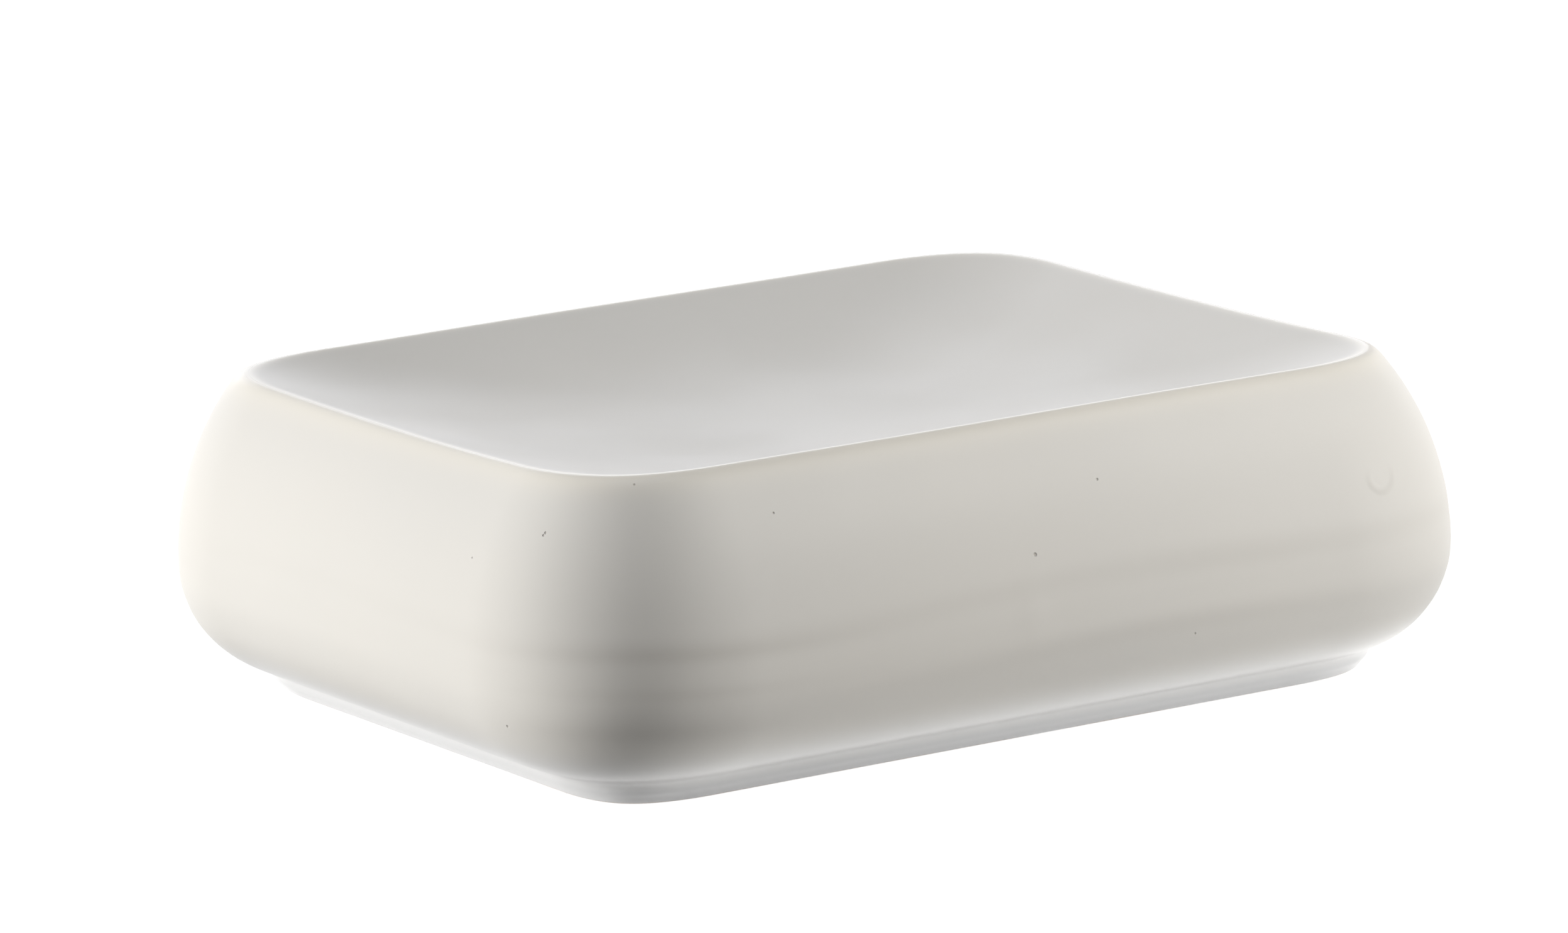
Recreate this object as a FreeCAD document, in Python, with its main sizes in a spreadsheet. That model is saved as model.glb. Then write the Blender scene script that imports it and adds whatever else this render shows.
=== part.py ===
"""Soap dish: a hollow glazed ceramic pillow with a shallow basin, standing on four soft pads.

Millimetres, +Z up, +X along the length, origin on the table under the middle of the dish.
Each piece is drawn from its own zero height: the dish from its foot, a pad from the table and
the plug from the base panel that its head lies against.
"""
import FreeCAD
import Part
import math
import os
import Sketcher

os.makedirs("parts", exist_ok=True)
doc = FreeCAD.newDocument("soap_dish")

# Driving dimensions
SIZES = (
    ("length", 130.0, "long side of the dish, across the bulge"),
    ("width", 110.0, "short side of the dish, across the bulge"),
    ("height", 39.0, "foot to the rim's edge, before that edge is rounded"),
    ("corner_radius", 22.0, "upright corners in plan, at the bulge"),
    ("bulge_height", 15.5, "height of the widest line above the foot"),
    ("rim_inset", 8.7, "rim's edge, in from the bulge"),
    ("rim_radius", 2.6, "rounding of the rim"),
    ("foot_inset", 10.5, "foot wall, in from the bulge"),
    ("foot_height", 1.2, "upright part of the foot wall"),
    ("foot_cove", 2.0, "hollow curve between foot wall and flank"),
    ("foot_edge", 0.9, "rounding of the foot's outer lower edge"),
    ("foot_width", 4.0, "width of the foot ring"),
    ("ring_edge", 0.6, "rounding of the foot ring's inner lower edge"),
    ("recess_depth", 1.6, "height of the base panel above the foot"),
    ("base_wall", 4.5, "thickness of the base panel"),
    ("wall", 4.0, "thickness of the sides and of the basin"),
    ("basin_depth", 8.0, "rim's edge down to the basin's floor"),
    ("vent_diameter", 8.0, "vent hole through the base panel"),
    ("pad_diameter", 10.0, "non-slip pad"),
    ("pad_thickness", 2.1, "non-slip pad, from base panel to table"),
    ("pad_edge", 0.4, "rounding of a pad's lower edge"),
    ("pad_inset", 9.5, "pad's middle, in from the recess's wall"),
    ("plug_clearance", 0.1, "gap round the plug's neck and under its lip"),
    ("plug_head", 13.0, "diameter of the plug's head"),
    ("plug_head_thickness", 1.0, "thickness of the plug's head"),
    ("plug_head_edge", 0.3, "rounding of the head's lower edge"),
    ("plug_lip", 0.6, "how far the plug's lip reaches past the vent hole's wall"),
    ("plug_nose_length", 1.8, "tapered nose above the lip"),
    ("plug_nose", 5.0, "diameter of the nose's end"),
    ("plug_bore", 3.6, "diameter of the blind hole in the plug"),
    ("plug_bore_depth", 4.6, "depth of the blind hole"),
    ("overrun", 1.0, "how far a cut, or what is cut away, runs past the finished face"),
)

# Sections of the basin from above the rim down to its floor: share of the rim's outline in plan,
# share of the basin's depth, and share by which the corners have opened out to a full round
BASIN_SHARES = (
    (1.12, -0.30, 0.00),
    (1.00, 0.00, 0.00),
    (0.83, 0.36, 0.14),
    (0.66, 0.64, 0.30),
    (0.49, 0.84, 0.48),
    (0.32, 0.96, 0.66),
    (0.15, 1.00, 0.84),
)

# Corners of the base that carry a pad: name, side along X, side along Y
PAD_CORNERS = (
    ("front_left", -1, -1),
    ("front_right", 1, -1),
    ("back_left", -1, 1),
    ("back_right", 1, 1),
)

sheet = doc.addObject("Spreadsheet::Sheet", "sizes")
for row, (alias, value, meaning) in enumerate(SIZES, start=1):
    sheet.set(f"A{row}", str(value))
    sheet.setAlias(f"A{row}", alias)
    sheet.set(f"B{row}", meaning)
doc.recompute()

# Sizes worked out from the sheet, as expressions
HALF_LENGTH = "sizes.length / 2"
HALF_WIDTH = "sizes.width / 2"
CORNER = "sizes.corner_radius"
SIDE_RADIUS = "(sizes.rim_inset^2 + (sizes.height - sizes.bulge_height)^2) / (2 * sizes.rim_inset)"
FLANK_RADIUS = ("(sizes.foot_inset^2 - 2 * sizes.foot_inset * sizes.foot_cove"
                " + (sizes.bulge_height - sizes.foot_height)^2) / (2 * sizes.foot_inset)")
HOLLOW_FLOOR = "sizes.recess_depth + sizes.base_wall"
HOLLOW_TOP = "sizes.height - sizes.rim_radius - sizes.wall"
RECESS_INSET = "sizes.foot_inset + sizes.foot_width"
FOOT_LIFT = "sizes.pad_thickness - sizes.recess_depth"

# How near two heights or places must lie to count as the same
TOLERANCE = 0.02


def number(expression):
    """The value that an expression on the sheet has now."""
    result = sheet.evalExpression(expression)
    return float(getattr(result, "Value", result))


def point(x, y):
    return FreeCAD.Vector(x, y, 0)


def line(x1, y1, x2, y2):
    return Part.LineSegment(point(x1, y1), point(x2, y2))


def arc(x, y, radius, start, end):
    """Arc about (x, y), counter-clockwise from the start angle to the end angle, in degrees."""
    circle = Part.Circle(point(x, y), FreeCAD.Vector(0, 0, 1), radius)
    return Part.ArcOfCircle(circle, math.radians(start), math.radians(end))


def new_sketch(body, name, role, **offsets):
    """A sketch on one of the body's origin planes, moved along its own axes by expressions."""
    sketch = body.newObject("Sketcher::SketchObject", name)
    plane = next(item for item in body.Origin.OriginFeatures if item.Role == role)
    sketch.AttachmentSupport = [(plane, "")]
    sketch.MapMode = "FlatFace"
    for axis, expression in offsets.items():
        sketch.setExpression(f"AttachmentOffset.Base.{axis}", expression)
    return sketch


def constrain(sketch, kind, *where):
    return sketch.addConstraint(Sketcher.Constraint(kind, *where))


def drive(sketch, kind, *where, by):
    """A dimension whose value follows an expression on the sheet."""
    index = sketch.addConstraint(Sketcher.Constraint(kind, *where, number(by)))
    sketch.setExpression(f"Constraints[{index}]", by)


ORIGIN = (-1, 1)
START, END, CENTRE = 1, 2, 3


def place(sketch, element, end, across, up):
    """Fix one point of a sketch at expressions across and up from the sketch's origin."""
    for kind, axis, expression in (("DistanceX", -2, across), ("DistanceY", -1, up)):
        if expression == "0":
            constrain(sketch, "PointOnObject", element, end, axis)
        else:
            drive(sketch, kind, *ORIGIN, element, end, by=expression)


def close_loop(sketch, smooth):
    """Join each element to the next one, tangent where the pair is in smooth."""
    count = len(sketch.Geometry)
    for element in range(count):
        follower = (element + 1) % count
        kind = "Tangent" if element in smooth else "Coincident"
        leave, enter = ends_that_meet(sketch, element, follower)
        constrain(sketch, kind, element, leave, follower, enter)


def ends_that_meet(sketch, element, follower):
    """Which ends of two elements of a sketch are drawn at the same point."""
    pairs = [(a, b) for a in (START, END) for b in (START, END)]
    return min(pairs, key=lambda pair: sketch.getPoint(element, pair[0]).distanceToPoint(
        sketch.getPoint(follower, pair[1])))


def outer_section(body, name, role, run, **offsets):
    """Half of the dish's section: foot, cove, flank and side, out to run from the middle."""
    sketch = new_sketch(body, name, role, **offsets)
    reach, bulge, inset = number(run), number("sizes.bulge_height"), number("sizes.foot_inset")
    edge, cove, foot = number("sizes.foot_edge"), number("sizes.foot_cove"), number("sizes.foot_height")
    flank, side = number(FLANK_RADIUS), number(SIDE_RADIUS)
    top = number("sizes.height + sizes.overrun")
    turn = math.degrees(math.asin((bulge - foot) / (flank + cove)))
    rise = math.degrees(math.asin((top - bulge) / side))
    top_reach = reach - side + side * math.cos(math.radians(rise))
    sketch.addGeometry([
        line(0, 0, reach - inset - edge, 0),
        arc(reach - inset - edge, edge, edge, -90, 0),
        line(reach - inset, edge, reach - inset, foot),
        arc(reach - inset + cove, foot, cove, 180 - turn, 180),
        arc(reach - flank, bulge, flank, -turn, 0),
        arc(reach - side, bulge, side, 0, rise),
        line(top_reach, top, 0, top),
        line(0, top, 0, 0),
    ])
    close_loop(sketch, smooth=(0, 1, 2, 3, 4))
    constrain(sketch, "Coincident", 0, START, *ORIGIN)
    constrain(sketch, "Horizontal", 0)
    constrain(sketch, "Vertical", 2)
    constrain(sketch, "Horizontal", 6)
    constrain(sketch, "Vertical", 7)
    constrain(sketch, "Horizontal", 4, CENTRE, 4, END)
    drive(sketch, "Radius", 1, by="sizes.foot_edge")
    drive(sketch, "Radius", 3, by="sizes.foot_cove")
    drive(sketch, "Radius", 5, by=SIDE_RADIUS)
    place(sketch, 2, END, f"{run} - sizes.foot_inset", "sizes.foot_height")
    place(sketch, 4, END, run, "sizes.bulge_height")
    drive(sketch, "DistanceY", *ORIGIN, 5, END, by="sizes.height + sizes.overrun")
    return sketch


def hollow_section(body, name, role, run, **offsets):
    """Half of the hollow's section, one wall inside the dish's section and over its base."""
    sketch = new_sketch(body, name, role, **offsets)
    reach, bulge = number(f"{run} - sizes.wall"), number("sizes.bulge_height")
    floor, top = number(HOLLOW_FLOOR), number(HOLLOW_TOP)
    flank, side = bulge - floor, number(f"{SIDE_RADIUS} - sizes.wall")
    rise = math.degrees(math.asin((top - bulge) / side))
    top_reach = reach - side + side * math.cos(math.radians(rise))
    sketch.addGeometry([
        line(0, floor, reach - flank, floor),
        arc(reach - flank, bulge, flank, -90, 0),
        arc(reach - side, bulge, side, 0, rise),
        line(top_reach, top, 0, top),
        line(0, top, 0, floor),
    ])
    close_loop(sketch, smooth=(0, 1))
    constrain(sketch, "Horizontal", 0)
    constrain(sketch, "Horizontal", 3)
    constrain(sketch, "Vertical", 4)
    constrain(sketch, "Horizontal", 1, CENTRE, 1, END)
    place(sketch, 0, START, "0", HOLLOW_FLOOR)
    place(sketch, 1, END, f"{run} - sizes.wall", "sizes.bulge_height")
    drive(sketch, "Radius", 2, by=f"{SIDE_RADIUS} - sizes.wall")
    drive(sketch, "DistanceY", *ORIGIN, 2, END, by=HOLLOW_TOP)
    return sketch


def pillow(body, name, section, extrusion, turning):
    """A rounded-rectangular form with the same section all round: two prisms that cross, a turned
    quarter for one corner, and their mirror images."""
    across = section(body, f"{name}_across", "YZ_Plane", HALF_WIDTH)
    along = section(body, f"{name}_along", "XZ_Plane", HALF_LENGTH)
    corner = section(body, f"{name}_corner", "XZ_Plane", CORNER,
                     x=f"{HALF_LENGTH} - {CORNER}", z=f"{CORNER} - {HALF_WIDTH}")
    doc.recompute()
    features = []
    for sketch, run in ((across, f"2 * ({HALF_LENGTH} - {CORNER})"), (along, f"2 * ({HALF_WIDTH} - {CORNER})")):
        prism = body.newObject(extrusion, f"{sketch.Name}_prism")
        prism.Profile = sketch
        prism.SideType = "Symmetric"
        prism.setExpression("Length", run)
        sketch.Visibility = False
        features.append(prism)
        doc.recompute()
    quarter = body.newObject(turning, f"{name}_corner_quarter")
    quarter.Profile = corner
    quarter.ReferenceAxis = (corner, ["V_Axis"])
    quarter.Angle = 90
    features.append(quarter)
    doc.recompute()
    mirrors = body.newObject("PartDesign::MultiTransform", f"{name}_all_round")
    mirrors.Originals = features
    planes = {item.Role: item for item in body.Origin.OriginFeatures}
    flips = []
    for role in ("YZ_Plane", "XZ_Plane"):
        flip = body.newObject("PartDesign::Mirrored", f"{name}_flip_{role[:2].lower()}")
        flip.MirrorPlane = (planes[role], [""])
        flips.append(flip)
    mirrors.Transformations = flips
    body.Tip = mirrors
    doc.recompute()
    return mirrors


def rounded_rectangle(body, name, half_length, half_width, radius, height):
    """A rectangle with round corners about the middle of the dish, on a level plane."""
    sketch = new_sketch(body, name, "XY_Plane", z=height)
    a, b, r = number(half_length), number(half_width), number(radius)
    sketch.addGeometry([
        line(r - a, -b, a - r, -b),
        arc(a - r, r - b, r, -90, 0),
        line(a, r - b, a, b - r),
        arc(a - r, b - r, r, 0, 90),
        line(a - r, b, r - a, b),
        arc(r - a, b - r, r, 90, 180),
        line(-a, b - r, -a, r - b),
        arc(r - a, r - b, r, 180, 270),
    ])
    close_loop(sketch, smooth=range(8))
    for level, upright in ((0, 2), (4, 6)):
        constrain(sketch, "Horizontal", level)
        constrain(sketch, "Vertical", upright)
    for corner in (3, 5, 7):
        constrain(sketch, "Equal", 1, corner)
    drive(sketch, "Radius", 1, by=radius)
    drive(sketch, "DistanceX", *ORIGIN, 2, START, by=half_length)
    drive(sketch, "DistanceX", 6, START, *ORIGIN, by=half_length)
    drive(sketch, "DistanceY", *ORIGIN, 4, START, by=half_width)
    drive(sketch, "DistanceY", 0, START, *ORIGIN, by=half_width)
    return sketch


def bowl(body, name, kind, rows, drop):
    """A loft through the basin's sections, lowered by drop."""
    sections = []
    for index, (plan, depth, opening) in enumerate(rows):
        half_length = f"{plan} * ({HALF_LENGTH} - sizes.rim_inset)"
        half_width = f"{plan} * ({HALF_WIDTH} - sizes.rim_inset)"
        radius = (f"{plan} * ({1 - opening} * ({CORNER} - sizes.rim_inset)"
                  f" + {opening} * ({HALF_WIDTH} - sizes.rim_inset))")
        height = f"sizes.height - {depth} * sizes.basin_depth - {drop}"
        sections.append(rounded_rectangle(body, f"{name}_{index}", half_length, half_width, radius, height))
    doc.recompute()
    loft = body.newObject(kind, name)
    loft.Profile = sections[0]
    loft.Sections = sections[1:]
    doc.recompute()
    return loft


def level_edges(feature, height, reach):
    """Names of the feature's edges that lie at one height and within reach of the middle."""
    names = []
    for index, edge in enumerate(feature.Shape.Edges, start=1):
        box = edge.BoundBox
        level = abs(box.ZMin - height) < TOLERANCE and abs(box.ZMax - height) < TOLERANCE
        inside = max(abs(box.XMin), abs(box.XMax)) < reach + TOLERANCE
        if level and inside:
            names.append(f"Edge{index}")
    return names


def round_edges(body, name, base, edges, radius):
    fillet = body.newObject("PartDesign::Fillet", name)
    fillet.Base = (base, edges)
    fillet.setExpression("Radius", radius)
    doc.recompute()
    return fillet


def pocket(body, name, sketch, depth):
    """A cut from the foot's plane upwards; it runs as far below the foot, where there is nothing."""
    cut = body.newObject("PartDesign::Pocket", name)
    cut.Profile = sketch
    cut.SideType = "Symmetric"
    cut.setExpression("Length", f"2 * ({depth})")
    doc.recompute()
    return cut


def dish_body():
    """Slip-cast shell: pillow-shaped skin, basin, base panel inside a foot ring, and a vent hole."""
    body = doc.addObject("PartDesign::Body", "dish_body")
    pillow(body, "skin", outer_section, "PartDesign::Pad", "PartDesign::Revolution")
    pillow(body, "hollow", hollow_section, "PartDesign::Pocket", "PartDesign::Groove")
    bowl(body, "basin_wall", "PartDesign::AdditiveLoft", BASIN_SHARES[1:], "sizes.wall")
    basin = bowl(body, "basin", "PartDesign::SubtractiveLoft", BASIN_SHARES, "0")
    rim = level_edges(basin, number("sizes.height"), number(HALF_LENGTH))
    round_edges(body, "rim", basin, rim, "sizes.rim_radius")
    outline = rounded_rectangle(body, "recess_outline", f"{HALF_LENGTH} - ({RECESS_INSET})",
                                f"{HALF_WIDTH} - ({RECESS_INSET})", f"{CORNER} - ({RECESS_INSET})", "0")
    recess = pocket(body, "recess", outline, "sizes.recess_depth")
    ring = level_edges(recess, 0, number(f"{HALF_LENGTH} - ({RECESS_INSET})"))
    round_edges(body, "ring_inner_edge", recess, ring, "sizes.ring_edge")
    circle = new_sketch(body, "vent_outline", "XY_Plane")
    circle.addGeometry(Part.Circle(point(0, 0), FreeCAD.Vector(0, 0, 1), number("sizes.vent_diameter / 2")))
    constrain(circle, "Coincident", 0, CENTRE, *ORIGIN)
    drive(circle, "Diameter", 0, by="sizes.vent_diameter")
    pocket(body, "vent", circle, f"{HOLLOW_FLOOR} + sizes.overrun")
    body.setExpression("Placement.Base.z", FOOT_LIFT)
    return body


def pad(corner, side_x, side_y):
    """Die-cut soft disc, stuck to the base panel and standing a little proud of the foot."""
    body = doc.addObject("PartDesign::Body", f"pad_{corner}")
    circle = new_sketch(body, f"disc_{corner}", "XY_Plane")
    circle.addGeometry(Part.Circle(point(0, 0), FreeCAD.Vector(0, 0, 1), number("sizes.pad_diameter / 2")))
    constrain(circle, "Coincident", 0, CENTRE, *ORIGIN)
    drive(circle, "Diameter", 0, by="sizes.pad_diameter")
    disc = body.newObject("PartDesign::Pad", f"disc_pad_{corner}")
    disc.Profile = circle
    disc.setExpression("Length", "sizes.pad_thickness")
    doc.recompute()
    lower = level_edges(disc, 0, number("sizes.pad_diameter"))
    round_edges(body, f"disc_edge_{corner}", disc, lower, "sizes.pad_edge")
    inset = f"({RECESS_INSET} + sizes.pad_inset)"
    body.setExpression("Placement.Base.x", f"{side_x} * ({HALF_LENGTH} - {inset})")
    body.setExpression("Placement.Base.y", f"{side_y} * ({HALF_WIDTH} - {inset})")
    return body


def vent_plug():
    """Soft turned plug: head on the base panel, neck in the vent hole, lip and nose inside."""
    body = doc.addObject("PartDesign::Body", "vent_plug")
    sketch = new_sketch(body, "plug_section", "XZ_Plane")
    head, bore = "sizes.plug_head / 2", "sizes.plug_bore / 2"
    neck = "sizes.vent_diameter / 2 - sizes.plug_clearance"
    lip = "sizes.vent_diameter / 2 + sizes.plug_lip"
    under, over = "-sizes.plug_head_thickness", "sizes.base_wall + sizes.plug_clearance"
    tip = f"{over} + sizes.plug_nose_length"
    bore_end = "sizes.plug_bore_depth - sizes.plug_head_thickness"
    corners = ((bore, under), (head, under), (head, "0"), (neck, "0"), (neck, over), (lip, over),
               ("sizes.plug_nose / 2", tip), ("0", tip), ("0", bore_end), (bore, bore_end))
    drawn = [(number(across), number(up)) for across, up in corners]
    sketch.addGeometry([line(*drawn[i], *drawn[(i + 1) % len(drawn)]) for i in range(len(drawn))])
    close_loop(sketch, smooth=())
    for element, (across, up) in enumerate(corners):
        place(sketch, element, START, across, up)
    doc.recompute()
    turned = body.newObject("PartDesign::Revolution", "plug_turned")
    turned.Profile = sketch
    turned.ReferenceAxis = (sketch, ["V_Axis"])
    turned.Angle = 360
    doc.recompute()
    outer = [name for name in level_edges(turned, number(under), number(head))
             if abs(turned.Shape.getElement(name).Curve.Radius - number(head)) < TOLERANCE]
    round_edges(body, "plug_head_edge", turned, outer, "sizes.plug_head_edge")
    body.setExpression("Placement.Base.z", "sizes.pad_thickness")
    return body


pieces = [dish_body(), vent_plug()] + [pad(*row) for row in PAD_CORNERS]
doc.recompute()

# Nothing is written unless every object is sound
for item in doc.Objects:
    if {"Invalid", "Error"} & set(item.State):
        raise RuntimeError(f"{item.Label} failed: {item.State}")
for piece in pieces:
    shape = piece.Shape
    if shape.isNull() or not shape.isValid() or len(shape.Solids) != 1:
        raise RuntimeError(f"{piece.Label} is not one sound solid")
for piece in pieces:
    piece.Shape.exportStep(f"parts/{piece.Label}.step")
    box = piece.Shape.BoundBox
    print(f"{piece.Label}: {piece.Shape.Volume:.1f} mm3, z {box.ZMin:.2f} to {box.ZMax:.2f},"
          f" {box.XLength:.2f} x {box.YLength:.2f}")
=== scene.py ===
"""Soap dish: a hollow glazed body, four stick-on pads and a soft plug, on a white table.

+Z is up, +X along the long sides, the origin on the table under the middle of the dish. Sizes of
the dish, its pads and plug are in millimetres and become metres where a mesh is written. Materials,
table, lamps and camera are in metres, unless a comment says otherwise.
"""

import bpy
import numpy as np
from mathutils import Matrix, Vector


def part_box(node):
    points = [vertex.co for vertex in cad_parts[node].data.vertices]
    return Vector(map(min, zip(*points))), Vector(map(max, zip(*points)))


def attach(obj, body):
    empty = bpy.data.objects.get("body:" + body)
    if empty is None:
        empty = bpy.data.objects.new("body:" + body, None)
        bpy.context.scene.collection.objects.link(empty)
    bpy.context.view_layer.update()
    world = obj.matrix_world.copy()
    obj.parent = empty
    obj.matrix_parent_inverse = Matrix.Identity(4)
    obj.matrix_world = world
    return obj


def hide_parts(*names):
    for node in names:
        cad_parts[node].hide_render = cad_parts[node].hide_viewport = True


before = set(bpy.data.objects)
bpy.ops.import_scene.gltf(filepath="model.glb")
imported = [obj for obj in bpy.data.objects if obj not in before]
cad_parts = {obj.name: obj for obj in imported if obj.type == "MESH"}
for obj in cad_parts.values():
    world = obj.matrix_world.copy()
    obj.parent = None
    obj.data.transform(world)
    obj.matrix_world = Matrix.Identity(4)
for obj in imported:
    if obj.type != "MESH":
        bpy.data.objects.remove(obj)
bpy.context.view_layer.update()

# ---------------------------------------------------------------- Dish body
# White stoneware, slip-cast in a plaster mould and drained through the vent in its base, so it is
# a hollow shell of even wall. Dipped in a satin ivory glaze and wiped bare where the foot rests.

MM = 0.001
body_low, body_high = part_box("dish_body")
HALF_LENGTH, HALF_WIDTH = body_high.x / MM, body_high.y / MM
FOOT = body_low.z / MM      # resting face of the foot, above the table; other heights start there
CORNER = 24.6               # how far a corner of the plan reaches along each side
SOFTNESS = 0.35             # how much more a corner bends at its middle than at its ends
BULGE = 15.6                # height of the widest line
EDGE_HEIGHT = 39.15         # rim, before the glaze rounds it
EDGE_INSET = 8.7            # the same edge, in from the widest line
FOOT_INSET = 10.4           # foot's wall, in from the widest line
FOOT_HEIGHT = 1.2           # level of the middle of the cove's arc
COVE = 2.1                  # radius of the cove over the foot
FOOT_EDGE = 1.2             # radius of the foot's rounded toe
FOOT_DRAFT = 0.7            # how far the foot's wall leans in towards the table
RING = 4.0                  # width of the foot ring
RECESS = 1.6                # underside of the base panel
PANEL = 4.5                 # thickness of the base panel
WALL = 4.0
BASIN = 8.0                 # depth under the rim's edge
VENT = 4.0                  # radius of the vent hole
CREST = 38.64               # top of the rounded rim at the corners
SHORT_SAG = 0.60            # how far the middle of a short rim sank in the kiln
LONG_SAG = -0.08            # the middle of a long rim rose a little
RIM_SOFT, SKIN_SOFT, BASE_SOFT = 1.12, 0.8, 0.3     # reach of the rounding: rim, skin and base
SHORT_RUN, TURN, LONG_RUN = 16, 44, 34      # points on half a short side, a corner, half a long one

# Radii and angles of the section's arcs, outside and inside. Each starts at the widest line.
SIDE_RADIUS = (EDGE_INSET ** 2 + (EDGE_HEIGHT - BULGE) ** 2) / (2 * EDGE_INSET)
FLANK_RADIUS = (FOOT_INSET ** 2 + (BULGE - FOOT_HEIGHT) ** 2) / (2 * FOOT_INSET) - COVE
SIDE_RISE = np.degrees(np.arcsin((EDGE_HEIGHT - BULGE) / SIDE_RADIUS))
FLANK_FALL = np.degrees(np.arcsin((BULGE - FOOT_HEIGHT) / (FLANK_RADIUS + COVE)))
HOLLOW_FLOOR = RECESS + PANEL
HOLLOW_FLANK = BULGE - HOLLOW_FLOOR
HOLLOW_SIDE = SIDE_RADIUS - WALL
HOLLOW_TOP = EDGE_HEIGHT - 2 * RIM_SOFT - WALL
HOLLOW_RISE = np.degrees(np.arcsin((HOLLOW_TOP - BULGE) / HOLLOW_SIDE))


def soft_corner(steps):
    """Quarter turn that reaches 1 along each side, as points and normal angles at mid-steps.
    The angle at share w is w - softness * sin(2 pi w) / (2 pi) of a quarter turn, and the points
    are the running sum of the tangent (-sin, cos), divided by the whole sum."""
    parts = 8       # of a step, that are added up
    share = np.linspace(0, 1, parts * steps + 1)
    angle = np.pi / 2 * (share - SOFTNESS * np.sin(2 * np.pi * share) / (2 * np.pi))
    tangent = np.stack([-np.sin(angle), np.cos(angle)])
    way = np.cumsum((tangent[:, 1:] + tangent[:, :-1]) / 2, axis=1)
    way = np.concatenate([np.zeros((2, 1)), way], axis=1) / way[1, -1]
    return way[:, parts // 2::parts], angle[parts // 2::parts]


def outline(half_length, half_width, corner):
    """Closed soft-cornered rectangle, counter-clockwise, as points and unit normals. A quarter
    runs up half a short side, round the corner and along half a long side, with each point at a
    mid-step; its mirror images give the rest, so a place has the same number on every outline."""
    turn, angle = soft_corner(TURN)
    up = (half_width - corner) * (np.arange(SHORT_RUN) + 0.5) / SHORT_RUN
    along = (half_length - corner) * (1 - (np.arange(LONG_RUN) + 0.5) / LONG_RUN)
    x = np.concatenate([np.full(SHORT_RUN, half_length), half_length + corner * turn[0], along])
    y = np.concatenate([up, half_width - corner + corner * turn[1], np.full(LONG_RUN, half_width)])
    theta = np.concatenate([np.zeros(SHORT_RUN), angle, np.full(LONG_RUN, np.pi / 2)])
    quarter = np.stack([x, y, np.cos(theta), np.sin(theta)], axis=1)
    in_x, in_y = np.array([-1, 1, -1, 1]), np.array([1, -1, 1, -1])
    back_left, front_right = quarter[::-1] * in_x, quarter[::-1] * in_y
    loop = np.concatenate([quarter, back_left, quarter * in_x * in_y, front_right])
    return loop[:, :2], loop[:, 2:]


def rows(inset, height, plan=1.0, oval=0.0, vent=0.0, sag=0.0, soft=BASE_SOFT, step=1.0):
    """Rows of the body's surface. A row is a level line: plan times the dish's plan moved in by the
    inset, plus oval times the basin's oval, plus vent times the vent's round. Sag is its share of
    the rim's sinking, soft the reach of its rounding and step its distance to the next row."""
    columns = (plan, np.multiply(plan, inset), oval, vent, height, sag, soft, step)
    return np.stack(np.broadcast_arrays(*columns), axis=1)


HEIGHT, SAG, SOFT, STEP = 4, 5, 6, 7        # columns of a row, after the four that give its line
ARC, LINE, BOWL = 200, 60, 400              # rows of each stretch, before they are evened out


def arc(centre_in, centre_up, radius, start, end, **row):
    """Rows along an arc of the section: inset = centre - radius cos, height = centre + radius sin,
    for angles from start to end in degrees."""
    angle = np.radians(np.linspace(start, end, ARC))
    return rows(centre_in - radius * np.cos(angle), centre_up + radius * np.sin(angle), **row)


def straight(inset_a, height_a, inset_b, height_b, **row):
    """Rows evenly along a straight line of the section, from a to b."""
    return rows(np.linspace(inset_a, inset_b, LINE), np.linspace(height_a, height_b, LINE), **row)


OVAL_CURVE, BOWL_CURVE = 1.12, 2.45         # powers that shape the basin in plan and in section


def bowl(share, inset, drop, ceiling, **row):
    """Rows of the basin, or of the hollow's ceiling under it: share times the plan at the inset,
    which turns into the oval by (1 - share) to the oval curve's power. The height is the edge's
    less the drop, less the basin's depth times 1 - share to the bowl curve's power."""
    opening = (1 - share) ** OVAL_CURVE
    height = np.minimum(EDGE_HEIGHT - BASIN * (1 - share ** BOWL_CURVE) - drop, ceiling)
    line = {"plan": share * (1 - opening), "oval": share * opening}
    return rows(inset, height, **line, sag=share ** 2, **row)


def panel(inset, height, reach, **row):
    """Rows of a level panel: reach is 0 on the vent's round and 1 on the plan at the inset."""
    return rows(inset, height, plan=reach, vent=1 - reach, **row)


# The section runs from the middle of the hollow's ceiling down the inside, out through the vent,
# over the foot and up the outside to the middle of the basin.
FINE = 0.24                                 # distance of the rows on the rim: they start so far
FINE_UNDER, FINE_BEYOND = 3, 0.95           # under its edge and end at this share of the basin
SAG_CURVE = 1.3                             # the side sinks with the rim, ever less further down
SOFTER_FROM, SOFTER_OVER = 14, 5            # the rounding widens so far above the widest line
TOE_TOP = (0.04, FOOT_EDGE * 0.75)          # end of the toe's arc, in from the toe and up
TOE_ANGLE, COVE_ANGLE, COVE_RISE = 15, 8, 0.3       # where the foot's wall meets its arcs

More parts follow.
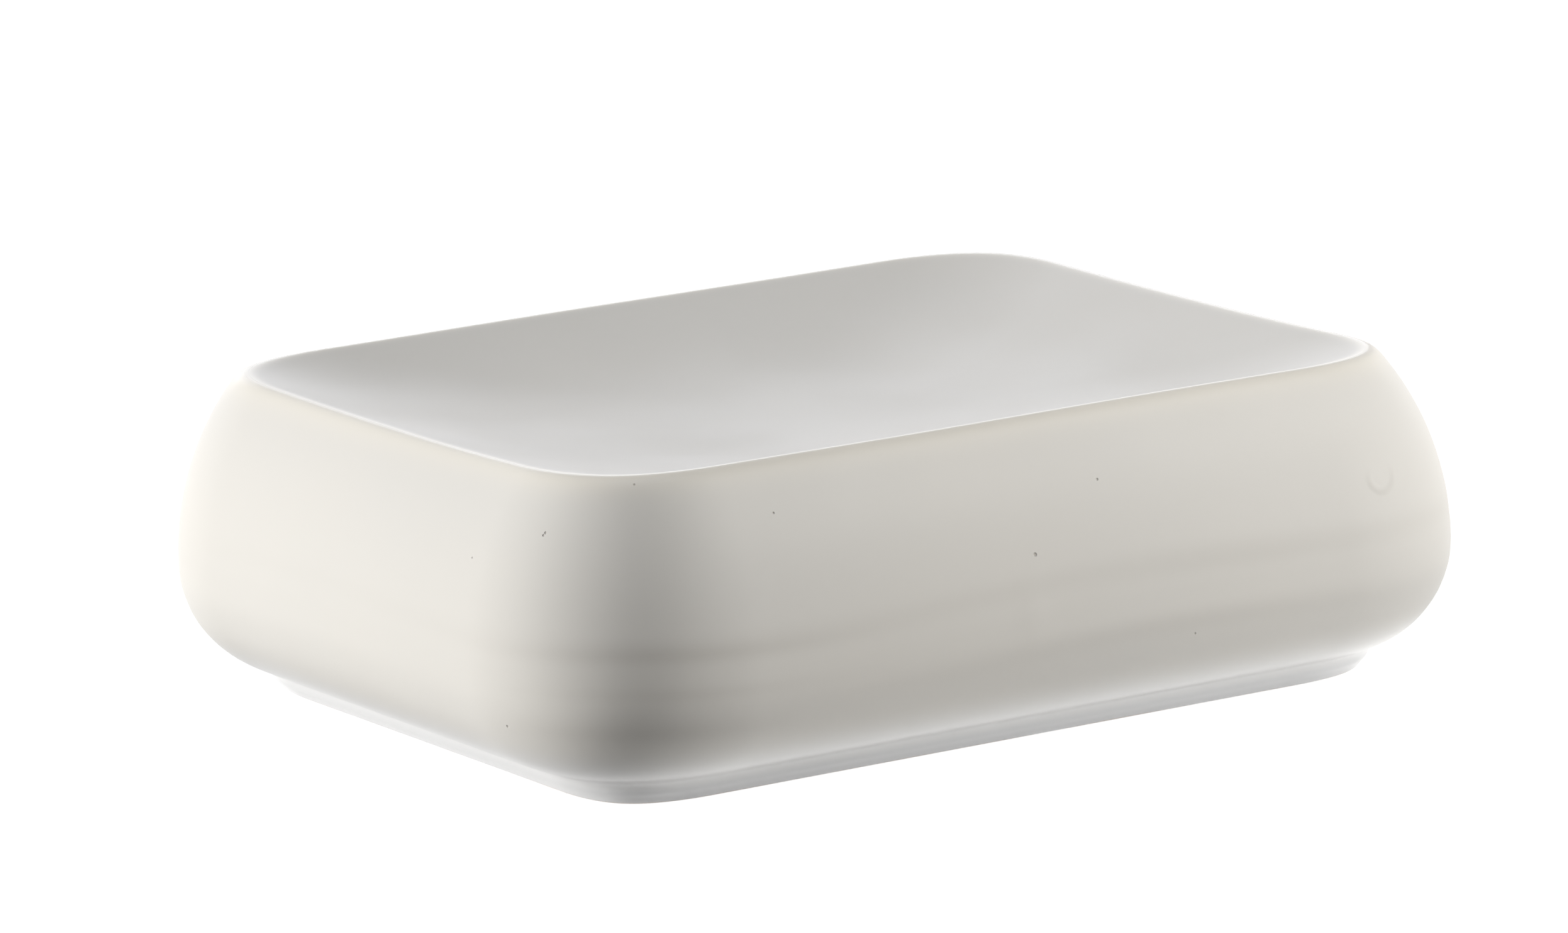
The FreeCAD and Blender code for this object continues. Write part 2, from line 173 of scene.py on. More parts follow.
out, back = np.linspace(0, 1, BOWL), np.linspace(1, 0, BOWL)
ring_in = FOOT_INSET + RING
foot_toe = FOOT_INSET + FOOT_DRAFT
side = arc(SIDE_RADIUS, BULGE, SIDE_RADIUS, 0, SIDE_RISE, soft=SKIN_SOFT, step=0.5)
over_bulge = side[:, HEIGHT] - BULGE
side[:, SAG] = (over_bulge / (EDGE_HEIGHT - BULGE)) ** SAG_CURVE
softer = np.clip((over_bulge - SOFTER_FROM) / SOFTER_OVER, 0, 1)
side[:, SOFT] = SKIN_SOFT + (RIM_SOFT - SKIN_SOFT) * softer
side[side[:, HEIGHT] > EDGE_HEIGHT - FINE_UNDER, STEP] = FINE
basin = bowl(back, EDGE_INSET, 0, EDGE_HEIGHT, soft=RIM_SOFT, step=1.2)
basin[back > FINE_BEYOND, STEP] = FINE
ceiling_in = WALL + HOLLOW_SIDE * (1 - np.cos(np.radians(HOLLOW_RISE)))
section = np.concatenate([
    bowl(out, ceiling_in, WALL, HOLLOW_TOP, step=3),
    arc(WALL + HOLLOW_SIDE, BULGE, HOLLOW_SIDE, HOLLOW_RISE, 0, step=2),
    arc(WALL + HOLLOW_FLANK, BULGE, HOLLOW_FLANK, 0, -90, step=1.5),
    panel(WALL + HOLLOW_FLANK, HOLLOW_FLOOR, back, step=3),
    rows(0, np.linspace(HOLLOW_FLOOR, RECESS, LINE), plan=0, vent=1, step=0.7),
    panel(ring_in, RECESS, out, step=3),
    straight(ring_in, RECESS, ring_in, 0, step=0.25),
    straight(ring_in, 0, foot_toe + FOOT_EDGE, 0, step=0.35),
    arc(foot_toe + FOOT_EDGE, FOOT_EDGE, FOOT_EDGE, -90, -TOE_ANGLE, step=0.2),
    straight(foot_toe + TOE_TOP[0], TOE_TOP[1], FOOT_INSET, FOOT_HEIGHT + COVE_RISE, step=0.2),
    arc(FOOT_INSET - COVE, FOOT_HEIGHT, COVE, 180 - COVE_ANGLE, 180 - FLANK_FALL, step=0.25),
    arc(FLANK_RADIUS, BULGE, FLANK_RADIUS, -FLANK_FALL, 0, soft=0.5, step=0.55),
    side,
    basin,
])


def rounded(table, across, up, fine=0.05):
    """A section's table, evened out and with soft corners, and how far along the line its rows
    are. The line (across, up) is cut in fine parts; a row becomes the mean of its neighbours,
    weighted by a bell curve whose reach is the last column but one. The last column is the
    distance between rows."""
    way = np.concatenate([[0], np.cumsum(np.hypot(np.diff(across), np.diff(up)))])
    even = np.arange(0, way[-1], fine)
    table = np.stack([np.interp(even, way, column) for column in table.T], axis=1)
    place = np.cumsum(fine / table[:, -1])
    picked = np.interp(np.linspace(place[0], place[-1], int(place[-1]) + 2), place, even)
    soft = np.interp(picked, even, table[:, -2])
    weight = np.exp(-((picked[:, None] - even) / soft[:, None]) ** 2 / 2)
    return (weight / weight.sum(axis=1)[:, None]) @ table, picked


plan, normal = outline(HALF_LENGTH, HALF_WIDTH, CORNER)
oval, _ = outline(HALF_LENGTH - EDGE_INSET, HALF_WIDTH - EDGE_INSET, HALF_WIDTH - EDGE_INSET)
vent = VENT * plan / np.linalg.norm(plan, axis=1)[:, None]
reach = section[:, :HEIGHT] @ [HALF_LENGTH, -1, HALF_LENGTH - EDGE_INSET, VENT]
table, picked = rounded(section, reach, section[:, HEIGHT])
table[[0, -1], :HEIGHT] = 0                 # the two ends are points on the upright axis

# A rim sinks most at its middle and not at all from a third of the way into the corner.
level = table[:, HEIGHT]
along_short = np.clip(np.abs(plan[:, 1]) / (HALF_WIDTH - CORNER / 3), 0, 1)
along_long = np.clip(np.abs(plan[:, 0]) / (HALF_LENGTH - CORNER / 3), 0, 1)
short_sag = SHORT_SAG * (1 - along_short ** 2) ** 2 * normal[:, 0] ** 2
long_sag = LONG_SAG * (1 - along_long ** 2) ** 2 * normal[:, 1] ** 2
sunk = level.max() - CREST + (short_sag + long_sag)
body = np.zeros((len(table), len(plan), 3))
for column, line in enumerate((plan, -normal, oval, vent)):
    body[:, :, :2] += table[:, column, None, None] * line
body[:, :, 2] = FOOT + level[:, None] - table[:, SAG, None] * sunk


def outward(grid):
    """Unit normals of a closed grid: the cross product of its two differences."""
    around = np.roll(grid, -1, axis=1) - np.roll(grid, 1, axis=1)
    normals = np.cross(around, np.gradient(grid, axis=0))
    return normals / np.maximum(np.linalg.norm(normals, axis=2, keepdims=True), 1e-9)


def bell(distance):
    """1 at no distance, falling off as exp(-distance squared)."""
    return np.exp(-distance ** 2)


def swell(points, length, height, slant, phase):
    """A long wave: height times the sine of 2 pi d / length + phase, d the way on the slant."""
    way = points @ np.array(slant) / np.linalg.norm(slant)
    return height * np.sin(2 * np.pi * way / length + phase)


# The hand-finished skin is not quite true: it has long, shallow waves. A damp sponge drawn level
# round the widest part left faint ripples and a few longer strokes: low ridges, each greyer along
# its underside, partly thinner glaze and partly painted shade. The strokes gathered at the
# front-left corner also paint shade into its dark end. One short upright run of glaze is on the
# front.
WAVES = (                                   # length, height, slant and phase
    (61, 0.045, (1, 0.3, 0.2), 0.4),
    (37, 0.030, (0.5, -1, 0.6), 2.1),
    (29, 0.018, (-0.2, 0.7, 1), 4.0),
    (83, 0.050, (0.2, 1, -0.4), 1.3),
)
UNSTEADY = ((0.6, 13, 0.5), (0.4, 9, 1))    # the hand's drift along X and Y: height, length, phase
RIPPLE, RIPPLE_GAP = 0.015, 4.2
RIPPLED = ((7, 4), (23.5, 3))               # lower and upper end of the ripples, and their fading
STROKE, RIDGE = 0.065, 1.4                  # height of a ridge, and how much thicker it is
STROKES = (                                 # height, half thickness, middle, reach and strength
    (20.7, 1.3, (5, -60), 85, 0.28),
    (19.6, 1.0, (-49, -54), 19, 0.9),
    (15.2, 0.8, (-50, -53), 15, 0.55),
    (10.6, 1.4, (-53, -51), 16, 1.0),
    (19.4, 1.1, (26, -55), 20, 0.4),
    (13.0, 1.4, (14, -54), 26, 0.4),
    (15.0, 1.2, (62, 30), 30, 0.6),
    (18.0, 1.0, (-10, 55), 34, 0.6),
)
RUN, RUN_AT, RUN_REACH = 0.08, (-4.0, 17.5), (1.5, 3.2)     # height, place and reach in X and Z
SKIN_FROM, SKIN_OVER = 8, 6                 # all this starts so far from the foot and grows over
MIDDLE_OVER = 8                             # so much; it fades over this to the basin's middle

wave = sum(swell(body, *row) for row in WAVES)
x, y, z = np.moveaxis(body, 2, 0)
for way, (drift, length, phase) in zip((x, y), UNSTEADY):
    z = z - drift * np.sin(way / length + phase)
(lowest, low_fade), (highest, high_fade) = RIPPLED
band = np.clip((z - lowest) / low_fade, 0, 1) * np.clip((highest - z) / high_fade, 0, 1)
wave += RIPPLE * band * np.sin(2 * np.pi * z / RIPPLE_GAP)
# Each ridge's underside is greyed: partly thinner glaze, partly painted shade.
thinned_and_shaded = 0
for height, thickness, (middle_x, middle_y), stretch, strength in STROKES:
    fade = strength * np.exp(-((x - middle_x) ** 2 + (y - middle_y) ** 2) / stretch ** 2)
    wave += STROKE * fade * bell((z - height - thickness) / (RIDGE * thickness))
    thinned_and_shaded = thinned_and_shaded + fade * bell((z - height) / thickness)
run_x, run_z = (x - RUN_AT[0]) / RUN_REACH[0], (z - RUN_AT[1]) / RUN_REACH[1]
wave += RUN * bell(run_x) * bell(run_z) * (y < 0)
resting = picked[level.argmin()]
outside = np.clip((picked - resting - SKIN_FROM) / SKIN_OVER, 0, 1)
inward = np.clip((picked[-1] - picked) / MIDDLE_OVER, 0, 1)
body += (wave * (outside * inward)[:, None])[:, :, None] * outward(body)


def shell(name, grid, material, slot, node, **attributes):
    """A closed piece from a grid of rows by columns, in millimetres: four-sided faces between the
    rows, and the first and last row drawn together in one point each. It stands for a solid."""
    count, columns = grid.shape[:2]
    points = np.concatenate([grid[0, :1], grid[1:-1].reshape(-1, 3), grid[-1, :1]]) * MM
    number = 1 + np.arange((count - 2) * columns).reshape(count - 2, columns)
    beside = np.roll(number, -1, axis=1)
    quads = np.stack([number[:-1], beside[:-1], beside[1:], number[1:]], axis=-1).reshape(-1, 4)
    first = np.stack([np.zeros(columns, int), beside[0], number[0]], axis=-1)
    last = np.stack([number[-1], beside[-1], np.full(columns, len(points) - 1)], axis=-1)
    mesh = bpy.data.meshes.new(name)
    mesh.from_pydata(points.tolist(), [], first.tolist() + quads.tolist() + last.tolist())
    mesh.polygons.foreach_set("use_smooth", np.ones(len(mesh.polygons), bool))
    for title, values in attributes.items():
        spread = np.broadcast_to(values, (count, columns))
        per_point = np.concatenate([spread[0, :1], spread[1:-1].ravel(), spread[-1, :1]])
        mesh.attributes.new(title, "FLOAT", "POINT").data.foreach_set("value", per_point)
    mesh.materials.append(material)
    thing = bpy.data.objects.new(name, mesh)
    bpy.context.scene.collection.objects.link(thing)
    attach(thing, "root")
    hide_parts(node)


def nodes_of(name):
    """A new material with its node tree and its shader, which is joined to the output."""
    material = bpy.data.materials.new(name)
    material.use_nodes = True
    tree = material.node_tree
    tree.nodes.clear()
    output = tree.nodes.new("ShaderNodeOutputMaterial")
    shader = tree.nodes.new("ShaderNodeBsdfPrincipled")
    tree.links.new(shader.outputs[0], output.inputs["Surface"])
    return material, tree, shader


def add(tree, kind, inputs=(), **settings):
    """Adds a node; inputs are values, or outputs of other nodes, by socket name or number."""
    node = tree.nodes.new(kind)
    for setting, value in settings.items():
        setattr(node, setting, value)
    for socket, value in dict(inputs).items():
        if isinstance(value, bpy.types.NodeSocket):
            tree.links.new(value, node.inputs[socket])
        else:
            node.inputs[socket].default_value = value
    return node


def sums(tree, operation, *values):
    """One step of arithmetic, on numbers or outputs that are numbers."""
    return add(tree, "ShaderNodeMath", enumerate(values), operation=operation).outputs[0]


def places(tree, operation, *values):
    """One step of arithmetic on places; a length or a distance is a number."""
    node = add(tree, "ShaderNodeVectorMath", enumerate(values), operation=operation)
    return node.outputs["Value" if operation in ("LENGTH", "DISTANCE") else "Vector"]


def upright(tree, place):
    """The height of a place."""
    return add(tree, "ShaderNodeSeparateXYZ", {0: place}).outputs["Z"]


def on_object(tree):
    """Where on the object a point is, in metres."""
    return add(tree, "ShaderNodeTexCoord").outputs["Object"]


def carried(tree, title):
    """What the mesh carries under that title."""
    return add(tree, "ShaderNodeAttribute", attribute_name=title).outputs["Fac"]


def cloudy(tree, where, scale, detail):
    """Soft random patches around 0.5; the scale is about their number in a metre."""
    sockets = {"Vector": where, "Scale": scale, "Detail": detail}
    return add(tree, "ShaderNodeTexNoise", sockets).outputs["Fac"]


CLOUDY_LOW, CLOUDY_HIGH = 0.3, 0.7          # where most of a cloudy pattern lies


def ramp(tree, value, start, end, low=0.0, high=1.0):
    """Low where the value is at the start, high where it is at the end, a soft step between."""
    sockets = {"Value": value, "From Min": start, "From Max": end, "To Min": low, "To Max": high}
    return add(tree, "ShaderNodeMapRange", sockets, interpolation_type="SMOOTHSTEP").outputs[0]


def blend(tree, share, a, b):
    """Colour a where the share is 0 and b where it is 1."""
    return add(tree, "ShaderNodeMix", {"Factor": share, 6: a, 7: b}, data_type="RGBA").outputs[2]


def between(tree, share, a, b):
    """Number a where the share is 0 and b where it is 1."""
    return add(tree, "ShaderNodeMix", {"Factor": share, 2: a, 3: b}).outputs[0]


def relief(tree, height, depth, under=None, strength=1.0, **settings):
    """Relief that is depth metres high where the height is 1, laid over the relief under it."""
    sockets = {"Height": height, "Distance": depth, "Strength": strength}
    if under is not None:
        sockets["Normal"] = under
    return add(tree, "ShaderNodeBump", sockets, **settings).outputs[0]


GLAZE_THICK, GLAZE_CLOUD = (0.868, 0.845, 0.798, 1), (0.84, 0.83, 0.80, 1)
# The streak's grey is partly painted shade; the curls use it as their own colour.
# The thin glaze's cream is partly a painted highlight along the crest.
THIN_GLAZE_AND_HIGHLIGHT, STREAK_AND_SHADE = (0.97, 0.93, 0.84, 1), (0.73, 0.71, 0.67, 1)
# The pool's pale cool white is partly painted light from the table; the foot's grey-blue is partly
# painted shade.
POOL_AND_PAINTED_LIGHT, FOOT_GLAZE_AND_SHADE = (0.91, 0.915, 0.92, 1), (0.80, 0.81, 0.825, 1)
CLAY, BURST = (0.93, 0.86, 0.81, 1), (0.42, 0.38, 0.33, 1)

glaze, tree, shader = nodes_of("satin_ivory_glaze")
shader.inputs["Specular IOR Level"].default_value = 0.36
shader.inputs["Coat Weight"].default_value = 0.1
shader.inputs["Coat Roughness"].default_value = 0.28
where = on_object(tree)
tint = blend(tree, cloudy(tree, where, 28.0, 3.0), GLAZE_THICK, GLAZE_CLOUD)
# Lighter cream on the crest: thinner glaze, and partly a painted highlight along the rim.
thin = carried(tree, "thin_glaze")
tint = blend(tree, thin, tint, THIN_GLAZE_AND_HIGHLIGHT)
# Greyer under the strokes' ridges and in the front-left corner's dark end: partly painted shade.
tint = blend(tree, carried(tree, "streaks"), tint, STREAK_AND_SHADE)

# Outside it ran down and pooled, whiter, in the cove; that paler, cooler band is partly painted
# light from the white table. The foot's wall has less, and its grey-blue is partly painted shade
# under the overhanging flank; it is wiped bare just over the table. Each comes in between two
# heights, going down.
POOL_AND_LIGHT_HEIGHTS, FOOT_THIN_AND_SHADE_HEIGHTS, WIPING = (0.0095, 0.0040), (0.0034, 0.0020), (0.00110, 0.00092)
UNEVEN = 0.0006                             # how far the wiped edge wanders up and down
height = upright(tree, where)
outer = carried(tree, "outer_side")
pooled_and_lit = sums(tree, "MULTIPLY", ramp(tree, height, *POOL_AND_LIGHT_HEIGHTS), outer)
foot_wall_shade = sums(tree, "MULTIPLY", ramp(tree, height, *FOOT_THIN_AND_SHADE_HEIGHTS), outer)
# Lower flank and cove: pooled glaze and painted light; foot wall: thinner glaze and painted shade.
tint = blend(tree, pooled_and_lit, tint, POOL_AND_PAINTED_LIGHT)
tint = blend(tree, foot_wall_shade, tint, FOOT_GLAZE_AND_SHADE)
wiped_to = sums(tree, "MULTIPLY_ADD", cloudy(tree, where, 90.0, 2.0), UNEVEN, height)
bare = ramp(tree, wiped_to, *WIPING)
tint = blend(tree, bare, tint, CLAY)

# Pinholes, where bubbles burst in the kiln: the few that stand out, by place and radius in
# millimetres, and a sprinkling of others, one in each cell that isn't spotless.
PINHOLES = (
    (-35.5, -50.4, 33.9, 0.18), (-3.0, -53.9, 24.7, 0.30), (-59.1, -39.8, 33.4, 0.2),
    (-59.25, -39.65, 33.1, 0.2), (-63.4, -36.6, 11.1, 0.22), (7.4, -51.5, 31.6, 0.18),
    (18.3, -54.3, 12.2, 0.18), (-62.5, -28.7, 29.2, 0.15), (-50.4, -45.1, 38.5, 0.16),
)
CELLS, SPOTLESS = 62.0, 0.9                 # cells in a metre, and the share of spotless ones
HOLES_IN_CELL = 66.0                        # radii of a hole in the width of a cell
HOLE_EDGE, HOLE_FLOOR = 1.0, 0.35           # as shares of the radius
cell = add(tree, "ShaderNodeTexVoronoi", {"Vector": where, "Scale": CELLS})
lucky = add(tree, "ShaderNodeSeparateColor", {0: cell.outputs["Color"]}).outputs[0]
spotless = sums(tree, "LESS_THAN", lucky, SPOTLESS)
nearest = sums(tree, "MULTIPLY_ADD", cell.outputs["Distance"], HOLES_IN_CELL, spotless)
for *spot, radius in PINHOLES:
    apart = places(tree, "DISTANCE", where, tuple(np.multiply(spot, MM)))
    nearest = sums(tree, "MINIMUM", nearest, sums(tree, "MULTIPLY", apart, 1 / (radius * MM)))
hole = ramp(tree, nearest, HOLE_EDGE, HOLE_FLOOR)

# Two small curls of glaze, by place and radius in millimetres: rings of low ridge, open above.
CURLS = ((46.0, -53.1, 26.7, 1.9), (12.0, -47.5, 4.3, 0.6))
RIDGE_REACH = 0.0007
OPEN_FROM, CLOSED_FROM = 0.0014, -0.0012    # above the middle of the ring
CURL_TINT, HOLE_TINT = 0.35, 0.55           # how much of their colours shows
curl = 0.0
for *spot, radius in CURLS:
    apart = places(tree, "SUBTRACT", where, tuple(np.multiply(spot, MM)))
    ring = sums(tree, "SUBTRACT", places(tree, "LENGTH", apart), radius * MM)
    ring = ramp(tree, sums(tree, "ABSOLUTE", ring), RIDGE_REACH, 0.0)
    lower = ramp(tree, upright(tree, apart), OPEN_FROM, CLOSED_FROM)
    curl = sums(tree, "ADD", sums(tree, "MULTIPLY", ring, lower), curl)
tint = blend(tree, sums(tree, "MULTIPLY", curl, CURL_TINT), tint, STREAK_AND_SHADE)
tint = blend(tree, sums(tree, "MULTIPLY", hole, HOLE_TINT), tint, BURST)
tree.links.new(tint, shader.inputs["Base Color"])

# A satin skin with patches a little glossier, glossier where it is thin on the crest and where it
# pooled, and dull on bare clay. Its relief: a fine orange peel, the clay's grit, curls and holes.
SATIN, CREST_GLOSS, POOL_GLOSS, CLAY_DULL = (0.42, 0.50), 0.27, 0.28, 0.8   # roughness
PEEL, GRIT, CURL, HOLE = 0.000006, 0.00004, 0.00006, 0.00012                # depth
rough = ramp(tree, cloudy(tree, where, 45.0, 4.0), CLOUDY_LOW, CLOUDY_HIGH, *SATIN)
rough = between(tree, thin, rough, CREST_GLOSS)
rough = between(tree, pooled_and_lit, rough, POOL_GLOSS)
rough = between(tree, bare, rough, CLAY_DULL)
tree.links.new(rough, shader.inputs["Roughness"])
skin = relief(tree, cloudy(tree, where, 380.0, 2.0), PEEL, strength=0.6)
grit = sums(tree, "MULTIPLY", cloudy(tree, where, 2600.0, 3.0), bare)
skin = relief(tree, grit, GRIT, skin)
skin = relief(tree, curl, CURL, skin)
skin = relief(tree, hole, HOLE, skin, invert=True)
tree.links.new(skin, shader.inputs["Normal"])

THIN_OUT, THIN_IN = 2.8, 0.9                # reach of the thin glaze and its painted highlight, to the side and the basin
STREAK_SHADE_SHOWN = 0.7                              # how much of the strokes' painted shade and thin glaze shows
crest_at = picked[level.argmax()]
from_crest = (picked - crest_at) / np.where(picked < crest_at, THIN_OUT, THIN_IN)
shell("dish_body_cast", body, glaze, "glazed_stoneware", "dish_body",
      thin_glaze=bell(from_crest)[:, None],
      streaks=thinned_and_shaded * outside[:, None] * STREAK_SHADE_SHOWN,
      outer_side=(picked > resting)[:, None])

# ---------------------------------------------------------------- Pads
# Four round feet of soft milky rubber, cut from sheet and rounded at the lower edge. Each sticks to
# the recess's ceiling with a thin film, so that the bare foot stays clear of the table.

PAD = (                                     # radius, height and reach of the rounding
    (0, 0, 0.17), (5.0, 0, 0.17), (5.03, 1.1, 0.17), (4.99, 1.9, 0.04),
    (4.86, 1.95, 0.03), (4.86, 2.1, 0.03), (0, 2.1, 0.03),
)
PAD_GREY, PAD_PALE = (0.70, 0.70, 0.68, 1), (0.76, 0.76, 0.735, 1)


def turned(line, centre, columns=72, step=0.12, fine=0.02):
    """Grid of a turned piece. The line's rows are radius, height and reach of the rounding. Once
    rounded, it goes round an upright axis: x = centre + radius cos, y = centre + radius sin of
    the angle."""
    radius, height, soft = np.array(line, float).T
    lathe = np.stack([radius, height, soft, np.full(len(radius), step)], axis=1)
    table, _ = rounded(lathe, radius, height, fine)
    table[[0, -1], 0] = 0
    angle = np.linspace(0, 2 * np.pi, columns, endpoint=False)
    ring = np.stack([np.cos(angle), np.sin(angle)], axis=1)
    flat = np.array(centre) + table[:, 0, None, None] * ring
    up = np.broadcast_to(table[:, 1, None, None], flat.shape[:2] + (1,))
    return np.concatenate([flat, up], axis=2)


DUSTED, GRAIN = (-0.06, 0.08), 0.00002      # what dust does to the roughness; depth of the grain


def soft_rubber(name, dark, pale, roughness):
    """Milky rubber: a slow drift between two tints, a fine dust and a moulded grain."""
    rubber, tree, shader = nodes_of(name)
    shader.inputs["Subsurface Weight"].default_value = 0.25
    shader.inputs["Subsurface Radius"].default_value = (0.0012, 0.0012, 0.0011)
    shader.inputs["Subsurface Scale"].default_value = 1.0
    shader.inputs["Specular IOR Level"].default_value = 0.4
    where = on_object(tree)
    tint = blend(tree, cloudy(tree, where, 140.0, 3.0), dark, pale)
    tree.links.new(tint, shader.inputs["Base Color"])
    dust = cloudy(tree, where, 700.0, 4.0)
    dull = ramp(tree, dust, CLOUDY_LOW, CLOUDY_HIGH, roughness + DUSTED[0], roughness + DUSTED[1])
    tree.links.new(dull, shader.inputs["Roughness"])
    grain = relief(tree, cloudy(tree, where, 3200.0, 2.0), GRAIN, strength=0.7)
    tree.links.new(grain, shader.inputs["Normal"])
    return rubber


pad_rubber = soft_rubber("milky_pad_rubber", PAD_GREY, PAD_PALE, 0.58)
for node in ("pad_front_left", "pad_front_right", "pad_back_left", "pad_back_right"):
    low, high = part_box(node)
    centre = (low + high) / 2 / MM
    shell(node + "_rubber", turned(PAD, (centre.x, centre.y)), pad_rubber, "soft_pad", node)

# ---------------------------------------------------------------- Plug
# A soft white plug closes the vent that the slip was drained through. It is moulded hollow, so that
# its lip squeezes through the hole and then holds it, with the head flat on the base.

PLUG = (                                    # radius, height and reach of the rounding
    (0, 5.7, 0.1), (1.8, 5.7, 0.1), (1.8, 1.1, 0.1), (6.5, 1.1, 0.13),
    (6.5, 2.1, 0.05), (3.9, 2.1, 0.05), (3.9, 6.7, 0.05), (4.6, 6.7, 0.12),
    (4.55, 7.0, 0.15), (2.5, 8.5, 0.2), (0, 8.5, 0.1),
)
PLUG_WHITE, PLUG_PALE = (0.78, 0.78, 0.76, 1), (0.83, 0.83, 0.81, 1)

plug_rubber = soft_rubber("white_plug_rubber", PLUG_WHITE, PLUG_PALE, 0.5)
shell("vent_plug_moulded", turned(PLUG, (0, 0)), plug_rubber, "soft_plug", "vent_plug")

# ---------------------------------------------------------------- Table
# A wide pale table, white where the dish stands, so that it lights the foot from close by. It
# takes the dish's shadow. Its own glow, seen directly and in reflections, makes all of it white.

TABLE = 3                                   # half a side
UNDER = -0.00003                            # a hair under the pads, so the faces don't coincide
SHEET_MIDDLE = (0.005, -0.003, 0)           # middle of the white part
SHEET = (0.0386, 0.0356, 1)                 # its half sizes, less its round corners
SHEET_CORNER, SHEET_EDGE = 0.014, 0.015     # radius of these, and how softly the white ends
SHEET_WHITE, TABLE_GREY = 0.90, 0.25
GLOW_FROM, GLOW_TO = (0.15, 0.90), (0.9, 1.0)       # distance and strength, near and far

floor_mesh = bpy.data.meshes.new("table")
corners = [(TABLE * side_x, TABLE * side_y, UNDER)
           for side_x, side_y in ((-1, -1), (1, -1), (1, 1), (-1, 1))]
floor_mesh.from_pydata(corners, [], [(0, 1, 2, 3)])
floor = bpy.data.objects.new("table", floor_mesh)
bpy.context.scene.collection.objects.link(floor)
white, tree, shader = nodes_of("white_table")
shader.inputs["Roughness"].default_value = 0.9
shader.inputs["Emission Color"].default_value = (1, 1, 1, 1)
where = on_object(tree)
(near, near_glow), (far, far_glow) = GLOW_FROM, GLOW_TO
even_white = ramp(tree, places(tree, "LENGTH", where), near, far, near_glow, far_glow)
beyond = places(tree, "ABSOLUTE", places(tree, "SUBTRACT", where, SHEET_MIDDLE))
beyond = places(tree, "MAXIMUM", places(tree, "SUBTRACT", beyond, SHEET), (0, 0, 0))
beyond = places(tree, "LENGTH", beyond)
pale = ramp(tree, beyond, SHEET_CORNER, SHEET_CORNER + SHEET_EDGE, SHEET_WHITE, TABLE_GREY)
tree.links.new(pale, shader.inputs["Base Color"])


def seen(tree):
    """1 for what the camera, a reflection or a clear piece sees, 0 for what lights a surface."""
    path = add(tree, "ShaderNodeLightPath").outputs
    either = sums(tree, "MAXIMUM", path["Is Camera Ray"], path["Is Glossy Ray"])
    return sums(tree, "MAXIMUM", either, path["Is Transmission Ray"])


glow = sums(tree, "MULTIPLY", seen(tree), even_white)
tree.links.new(glow, shader.inputs["Emission Strength"])
floor_mesh.materials.append(white)

# ---------------------------------------------------------------- Light
# A warm lamp low on the left, behind the dish; in front on the right two high lamps, a low one and
# a small one close by; a cool one overhead and two behind. The front's left end stays dark.

ROOM, ROOM_LIGHT, ROOM_SEEN = (0.945, 0.948, 1, 1), 0.01, 1.0

world = bpy.data.worlds.new("studio")
bpy.context.scene.world = world
world.use_nodes = True
tree = world.node_tree
tree.nodes.clear()
sky = tree.nodes.new("ShaderNodeBackground")
tree.links.new(sky.outputs[0], tree.nodes.new("ShaderNodeOutputWorld").inputs["Surface"])
tree.links.new(ramp(tree, seen(tree), 0.0, 1.0, ROOM_LIGHT, ROOM_SEEN), sky.inputs["Strength"])
sky.inputs["Color"].default_value = ROOM


def aimed(place, target):
    """Turn of a thing at the place whose -Z looks at the target and whose X is level."""
    back = np.subtract(place, target) / np.linalg.norm(np.subtract(place, target))
    right = np.cross((0, 0, 1), back) / np.linalg.norm(np.cross((0, 0, 1), back))
    up = np.cross(back, right)
    return np.stack([right, up, back], axis=1)


def placed(thing, turn, place):
    """Puts a lamp or the camera in the scene at the place, with that turn."""
    thing.matrix_world = Matrix([[*turn[i], place[i]] for i in range(3)] + [[0, 0, 0, 1]])
    bpy.context.scene.collection.objects.link(thing)


def bearing_to(bearing, rise):
    """Unit arrow (sin b cos r, -cos b cos r, sin r), for angles in radians. A bearing of 0 is in
    front of the long side, and a right angle is beyond the right end."""
    level = np.cos(rise)
    return np.array([np.sin(bearing) * level, -np.cos(bearing) * level, np.sin(rise)])


DISH_MIDDLE = (0, 0, 0.02)


def off(bearing, rise, distance=0.80):
    """The place at that distance from the dish, with bearing and rise in degrees."""
    return np.add(DISH_MIDDLE, distance * bearing_to(*np.radians([bearing, rise])))


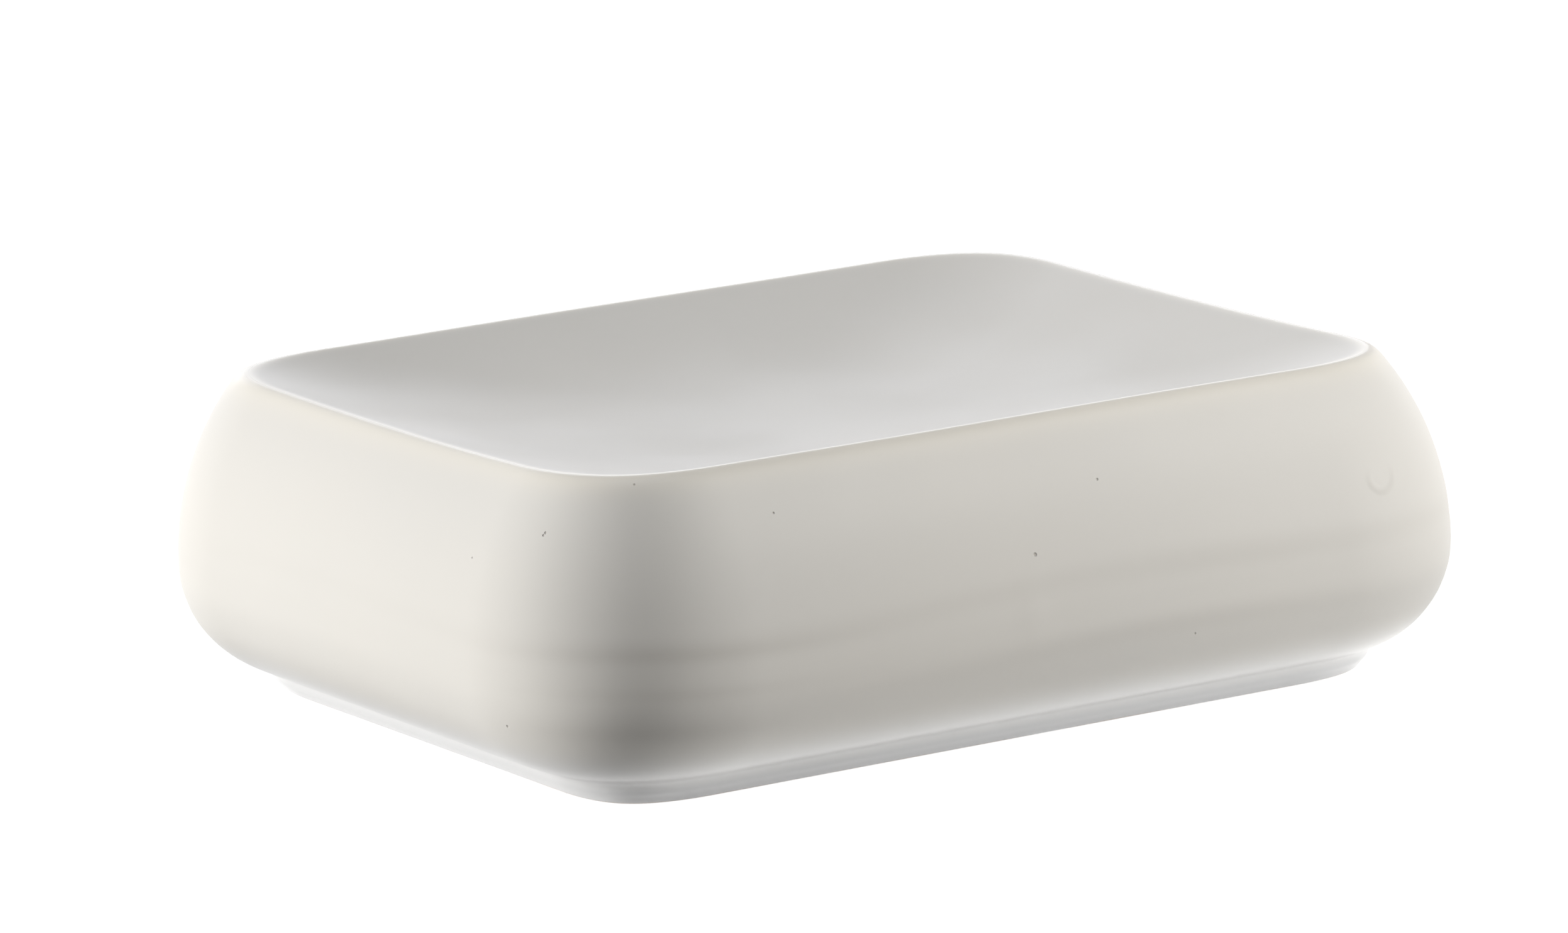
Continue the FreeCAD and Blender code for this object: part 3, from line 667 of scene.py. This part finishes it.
def lamp(name, place, size, power, colour, mirrored=True):
    """A flat lamp of so many watts that looks at the dish. One that isn't mirrored lights it but
    leaves no highlight."""
    data = bpy.data.lights.new(name, "AREA")
    data.shape = "RECTANGLE"
    data.size, data.size_y = size
    data.energy = power
    data.color = colour
    thing = bpy.data.objects.new(name, data)
    thing.visible_camera = False
    thing.visible_glossy = mirrored
    placed(thing, aimed(place, DISH_MIDDLE), place)


lamp("left_lamp", off(245.5, 11), (0.28, 0.34), 5.85, (1, 0.98, 0.945), mirrored=False)
lamp("right_high_lamp", off(36, 40, 0.45), (0.25, 0.20), 0.51, (1, 0.965, 0.89))
lamp("right_low_lamp", off(28, 8, 0.50), (0.20, 0.10), 0.49, (1, 0.98, 0.95), mirrored=False)
lamp("near_lamp", off(45, 8, 0.28), (0.12, 0.08), 0.10, (1, 0.99, 0.98), mirrored=False)
lamp("front_high_lamp", off(20, 62), (0.50, 0.40), 0.55, (1, 0.945, 0.85))
lamp("top_lamp", off(0, 85, 0.70), (0.40, 0.40), 0.50, (0.67, 0.80, 1))
lamp("back_lamp", off(158, 15), (0.6, 0.30), 0.64, (0.93, 0.95, 1))
lamp("right_back_lamp", off(112, 12), (0.40, 0.30), 1.9, (1, 0.97, 0.92), mirrored=False)

# ---------------------------------------------------------------- Camera
# A long lens from a little over a metre, low in front of the left corner and turned a little on
# its axis. The middle of the picture is a few millimetres off the spot that it is aimed by.

BEARING, RISE, ROLL = np.radians([-31.193, 11.95, -2.44])
DISTANCE, LENS, FILM = 1.1338, 218.28, 36   # lens and width of the film in millimetres
SPOT, ASIDE, ABOVE = (0, 0, 0.01982), -0.003129, 0.006061

level_turn = aimed(bearing_to(BEARING, RISE), (0, 0, 0))
roll = np.array([[np.cos(ROLL), -np.sin(ROLL), 0], [np.sin(ROLL), np.cos(ROLL), 0], [0, 0, 1]])
turn = level_turn @ roll
camera_data = bpy.data.cameras.new("camera")
camera_data.lens, camera_data.sensor_width = LENS, FILM
camera_data.clip_start, camera_data.clip_end = 0.01, 20
camera = bpy.data.objects.new("camera", camera_data)
placed(camera, turn, np.array(SPOT) + turn @ (ASIDE, ABOVE, DISTANCE))
bpy.context.scene.camera = camera
bpy.context.scene.view_settings.view_transform = "Standard"
